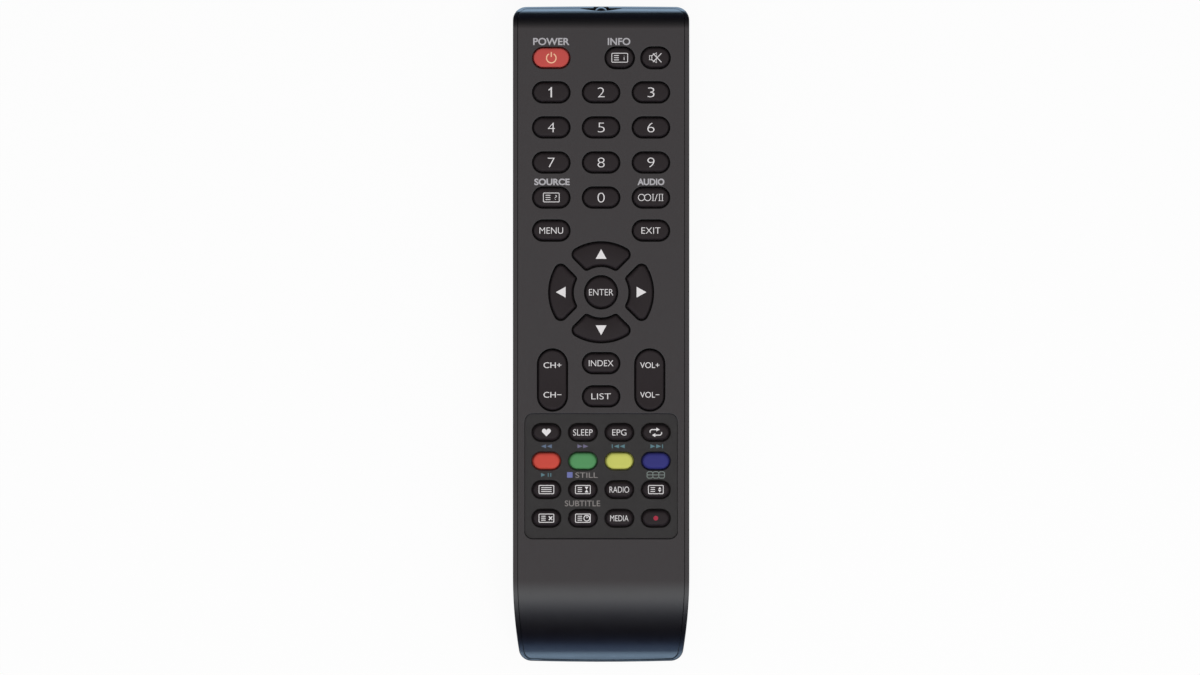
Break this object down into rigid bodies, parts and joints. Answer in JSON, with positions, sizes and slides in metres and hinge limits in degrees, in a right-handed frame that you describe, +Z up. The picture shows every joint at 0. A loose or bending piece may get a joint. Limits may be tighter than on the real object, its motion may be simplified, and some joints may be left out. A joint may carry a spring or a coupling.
{
  "type": "tv remote control",
  "caption": "Slim handheld infrared remote: a shell nested in a rounded tub, sprung rubber keys, an arrow pad, two tilting rockers and a sliding battery cover.",
  "frame": {"origin": "middle of the underside, below the middle of the remote", "axes": "+Y towards the head end with the infrared emitter, +Z up out of the key face, +X to the right when the key face is seen from above with the head end up"},
  "size_m": [0.0524, 0.195, 0.0223],
  "materials": {
    "case_plastic": "fine satin",
    "key_rubber": "matt silicone",
    "board_laminate": "phenolic laminate",
    "cell_jacket": "printed jacket",
    "contact_metal": "nickel plated",
    "screw_metal": "zinc plated",
    "emitter_resin": "clear dark epoxy",
    "chip_resin": "moulded epoxy",
    "resonator_ceramic": "dipped ceramic",
    "capacitor_can": "shrink sleeve",
    "power_red": "matt silicone",
    "signal_red": "matt silicone",
    "signal_green": "matt silicone",
    "signal_yellow": "matt silicone",
    "signal_blue": "matt silicone"
  },
  "bodies": {
    "case": {"top_case": "case_plastic", "bottom_case": "case_plastic", "circuit_board": "board_laminate", "keypad_mat": "key_rubber", "cell_left": "cell_jacket", "cell_right": "cell_jacket", "positive_terminal": "contact_metal", "negative_terminal": "contact_metal", "battery_link": "contact_metal", "infrared_emitter": "emitter_resin", "case_screw": "screw_metal", "controller_chip": "chip_resin", "ceramic_resonator": "resonator_ceramic", "filter_capacitor": "capacitor_can"},
    "battery_cover": {"battery_cover": "case_plastic"},
    "key_power": {"key_power": "power_red"},
    "key_info": {"key_info": "key_rubber"},
    "key_mute": {"key_mute": "key_rubber"},
    "key_one": {"key_one": "key_rubber"},
    "key_two": {"key_two": "key_rubber"},
    "key_three": {"key_three": "key_rubber"},
    "key_four": {"key_four": "key_rubber"},
    "key_five": {"key_five": "key_rubber"},
    "key_six": {"key_six": "key_rubber"},
    "key_seven": {"key_seven": "key_rubber"},
    "key_eight": {"key_eight": "key_rubber"},
    "key_nine": {"key_nine": "key_rubber"},
    "key_source": {"key_source": "key_rubber"},
    "key_zero": {"key_zero": "key_rubber"},
    "key_audio": {"key_audio": "key_rubber"},
    "key_menu": {"key_menu": "key_rubber"},
    "key_exit": {"key_exit": "key_rubber"},
    "key_up": {"key_up": "key_rubber"},
    "key_left": {"key_left": "key_rubber"},
    "key_enter": {"key_enter": "key_rubber"},
    "key_right": {"key_right": "key_rubber"},
    "key_down": {"key_down": "key_rubber"},
    "rocker_channel": {"rocker_channel": "key_rubber"},
    "key_index": {"key_index": "key_rubber"},
    "key_list": {"key_list": "key_rubber"},
    "rocker_volume": {"rocker_volume": "key_rubber"},
    "key_favourite": {"key_favourite": "key_rubber"},
    "key_sleep": {"key_sleep": "key_rubber"},
    "key_guide": {"key_guide": "key_rubber"},
    "key_repeat": {"key_repeat": "key_rubber"},
    "key_red": {"key_red": "signal_red"},
    "key_green": {"key_green": "signal_green"},
    "key_yellow": {"key_yellow": "signal_yellow"},
    "key_blue": {"key_blue": "signal_blue"},
    "key_page": {"key_page": "key_rubber"},
    "key_hold": {"key_hold": "key_rubber"},
    "key_radio": {"key_radio": "key_rubber"},
    "key_magnify": {"key_magnify": "key_rubber"},
    "key_cancel": {"key_cancel": "key_rubber"},
    "key_clock": {"key_clock": "key_rubber"},
    "key_media": {"key_media": "key_rubber"},
    "key_record": {"key_record": "key_rubber"}
  },
  "joints": [
    {"name": "battery_cover_slide", "type": "slide", "parent": "case", "child": "battery_cover", "axis": [0, -1, 0], "range_m": [0, 0.07]},
    {"name": "key_power_press", "type": "slide", "parent": "case", "child": "key_power", "axis": [0, 0, -1], "range_m": [0, 0.001], "stiffness_N_per_m": 600},
    {"name": "key_info_press", "type": "slide", "parent": "case", "child": "key_info", "axis": [0, 0, -1], "range_m": [0, 0.001], "stiffness_N_per_m": 600},
    {"name": "key_mute_press", "type": "slide", "parent": "case", "child": "key_mute", "axis": [0, 0, -1], "range_m": [0, 0.001], "stiffness_N_per_m": 600},
    {"name": "key_one_press", "type": "slide", "parent": "case", "child": "key_one", "axis": [0, 0, -1], "range_m": [0, 0.001], "stiffness_N_per_m": 600},
    {"name": "key_two_press", "type": "slide", "parent": "case", "child": "key_two", "axis": [0, 0, -1], "range_m": [0, 0.001], "stiffness_N_per_m": 600},
    {"name": "key_three_press", "type": "slide", "parent": "case", "child": "key_three", "axis": [0, 0, -1], "range_m": [0, 0.001], "stiffness_N_per_m": 600},
    {"name": "key_four_press", "type": "slide", "parent": "case", "child": "key_four", "axis": [0, 0, -1], "range_m": [0, 0.001], "stiffness_N_per_m": 600},
    {"name": "key_five_press", "type": "slide", "parent": "case", "child": "key_five", "axis": [0, 0, -1], "range_m": [0, 0.001], "stiffness_N_per_m": 600},
    {"name": "key_six_press", "type": "slide", "parent": "case", "child": "key_six", "axis": [0, 0, -1], "range_m": [0, 0.001], "stiffness_N_per_m": 600},
    {"name": "key_seven_press", "type": "slide", "parent": "case", "child": "key_seven", "axis": [0, 0, -1], "range_m": [0, 0.001], "stiffness_N_per_m": 600},
    {"name": "key_eight_press", "type": "slide", "parent": "case", "child": "key_eight", "axis": [0, 0, -1], "range_m": [0, 0.001], "stiffness_N_per_m": 600},
    {"name": "key_nine_press", "type": "slide", "parent": "case", "child": "key_nine", "axis": [0, 0, -1], "range_m": [0, 0.001], "stiffness_N_per_m": 600},
    {"name": "key_source_press", "type": "slide", "parent": "case", "child": "key_source", "axis": [0, 0, -1], "range_m": [0, 0.001], "stiffness_N_per_m": 600},
    {"name": "key_zero_press", "type": "slide", "parent": "case", "child": "key_zero", "axis": [0, 0, -1], "range_m": [0, 0.001], "stiffness_N_per_m": 600},
    {"name": "key_audio_press", "type": "slide", "parent": "case", "child": "key_audio", "axis": [0, 0, -1], "range_m": [0, 0.001], "stiffness_N_per_m": 600},
    {"name": "key_menu_press", "type": "slide", "parent": "case", "child": "key_menu", "axis": [0, 0, -1], "range_m": [0, 0.001], "stiffness_N_per_m": 600},
    {"name": "key_exit_press", "type": "slide", "parent": "case", "child": "key_exit", "axis": [0, 0, -1], "range_m": [0, 0.001], "stiffness_N_per_m": 600},
    {"name": "key_up_press", "type": "slide", "parent": "case", "child": "key_up", "axis": [0, 0, -1], "range_m": [0, 0.001], "stiffness_N_per_m": 600},
    {"name": "key_left_press", "type": "slide", "parent": "case", "child": "key_left", "axis": [0, 0, -1], "range_m": [0, 0.001], "stiffness_N_per_m": 600},
    {"name": "key_enter_press", "type": "slide", "parent": "case", "child": "key_enter", "axis": [0, 0, -1], "range_m": [0, 0.001], "stiffness_N_per_m": 600},
    {"name": "key_right_press", "type": "slide", "parent": "case", "child": "key_right", "axis": [0, 0, -1], "range_m": [0, 0.001], "stiffness_N_per_m": 600},
    {"name": "key_down_press", "type": "slide", "parent": "case", "child": "key_down", "axis": [0, 0, -1], "range_m": [0, 0.001], "stiffness_N_per_m": 600},
    {"name": "rocker_channel_tilt", "type": "hinge", "parent": "case", "child": "rocker_channel", "pos_m": [-0.01445, -0.01357, 0.0175], "axis": [1, 0, 0], "range_deg": [-3, 3], "stiffness_Nm_per_rad": 0.12},
    {"name": "key_index_press", "type": "slide", "parent": "case", "child": "key_index", "axis": [0, 0, -1], "range_m": [0, 0.001], "stiffness_N_per_m": 600},
    {"name": "key_list_press", "type": "slide", "parent": "case", "child": "key_list", "axis": [0, 0, -1], "range_m": [0, 0.001], "stiffness_N_per_m": 600},
    {"name": "rocker_volume_tilt", "type": "hinge", "parent": "case", "child": "rocker_volume", "pos_m": [0.01445, -0.01357, 0.0175], "axis": [1, 0, 0], "range_deg": [-3, 3], "stiffness_Nm_per_rad": 0.12},
    {"name": "key_favourite_press", "type": "slide", "parent": "case", "child": "key_favourite", "axis": [0, 0, -1], "range_m": [0, 0.001], "stiffness_N_per_m": 600},
    {"name": "key_sleep_press", "type": "slide", "parent": "case", "child": "key_sleep", "axis": [0, 0, -1], "range_m": [0, 0.001], "stiffness_N_per_m": 600},
    {"name": "key_guide_press", "type": "slide", "parent": "case", "child": "key_guide", "axis": [0, 0, -1], "range_m": [0, 0.001], "stiffness_N_per_m": 600},
    {"name": "key_repeat_press", "type": "slide", "parent": "case", "child": "key_repeat", "axis": [0, 0, -1], "range_m": [0, 0.001], "stiffness_N_per_m": 600},
    {"name": "key_red_press", "type": "slide", "parent": "case", "child": "key_red", "axis": [0, 0, -1], "range_m": [0, 0.001], "stiffness_N_per_m": 600},
    {"name": "key_green_press", "type": "slide", "parent": "case", "child": "key_green", "axis": [0, 0, -1], "range_m": [0, 0.001], "stiffness_N_per_m": 600},
    {"name": "key_yellow_press", "type": "slide", "parent": "case", "child": "key_yellow", "axis": [0, 0, -1], "range_m": [0, 0.001], "stiffness_N_per_m": 600},
    {"name": "key_blue_press", "type": "slide", "parent": "case", "child": "key_blue", "axis": [0, 0, -1], "range_m": [0, 0.001], "stiffness_N_per_m": 600},
    {"name": "key_page_press", "type": "slide", "parent": "case", "child": "key_page", "axis": [0, 0, -1], "range_m": [0, 0.001], "stiffness_N_per_m": 600},
    {"name": "key_hold_press", "type": "slide", "parent": "case", "child": "key_hold", "axis": [0, 0, -1], "range_m": [0, 0.001], "stiffness_N_per_m": 600},
    {"name": "key_radio_press", "type": "slide", "parent": "case", "child": "key_radio", "axis": [0, 0, -1], "range_m": [0, 0.001], "stiffness_N_per_m": 600},
    {"name": "key_magnify_press", "type": "slide", "parent": "case", "child": "key_magnify", "axis": [0, 0, -1], "range_m": [0, 0.001], "stiffness_N_per_m": 600},
    {"name": "key_cancel_press", "type": "slide", "parent": "case", "child": "key_cancel", "axis": [0, 0, -1], "range_m": [0, 0.001], "stiffness_N_per_m": 600},
    {"name": "key_clock_press", "type": "slide", "parent": "case", "child": "key_clock", "axis": [0, 0, -1], "range_m": [0, 0.001], "stiffness_N_per_m": 600},
    {"name": "key_media_press", "type": "slide", "parent": "case", "child": "key_media", "axis": [0, 0, -1], "range_m": [0, 0.001], "stiffness_N_per_m": 600},
    {"name": "key_record_press", "type": "slide", "parent": "case", "child": "key_record", "axis": [0, 0, -1], "range_m": [0, 0.001], "stiffness_N_per_m": 600}
  ]
}
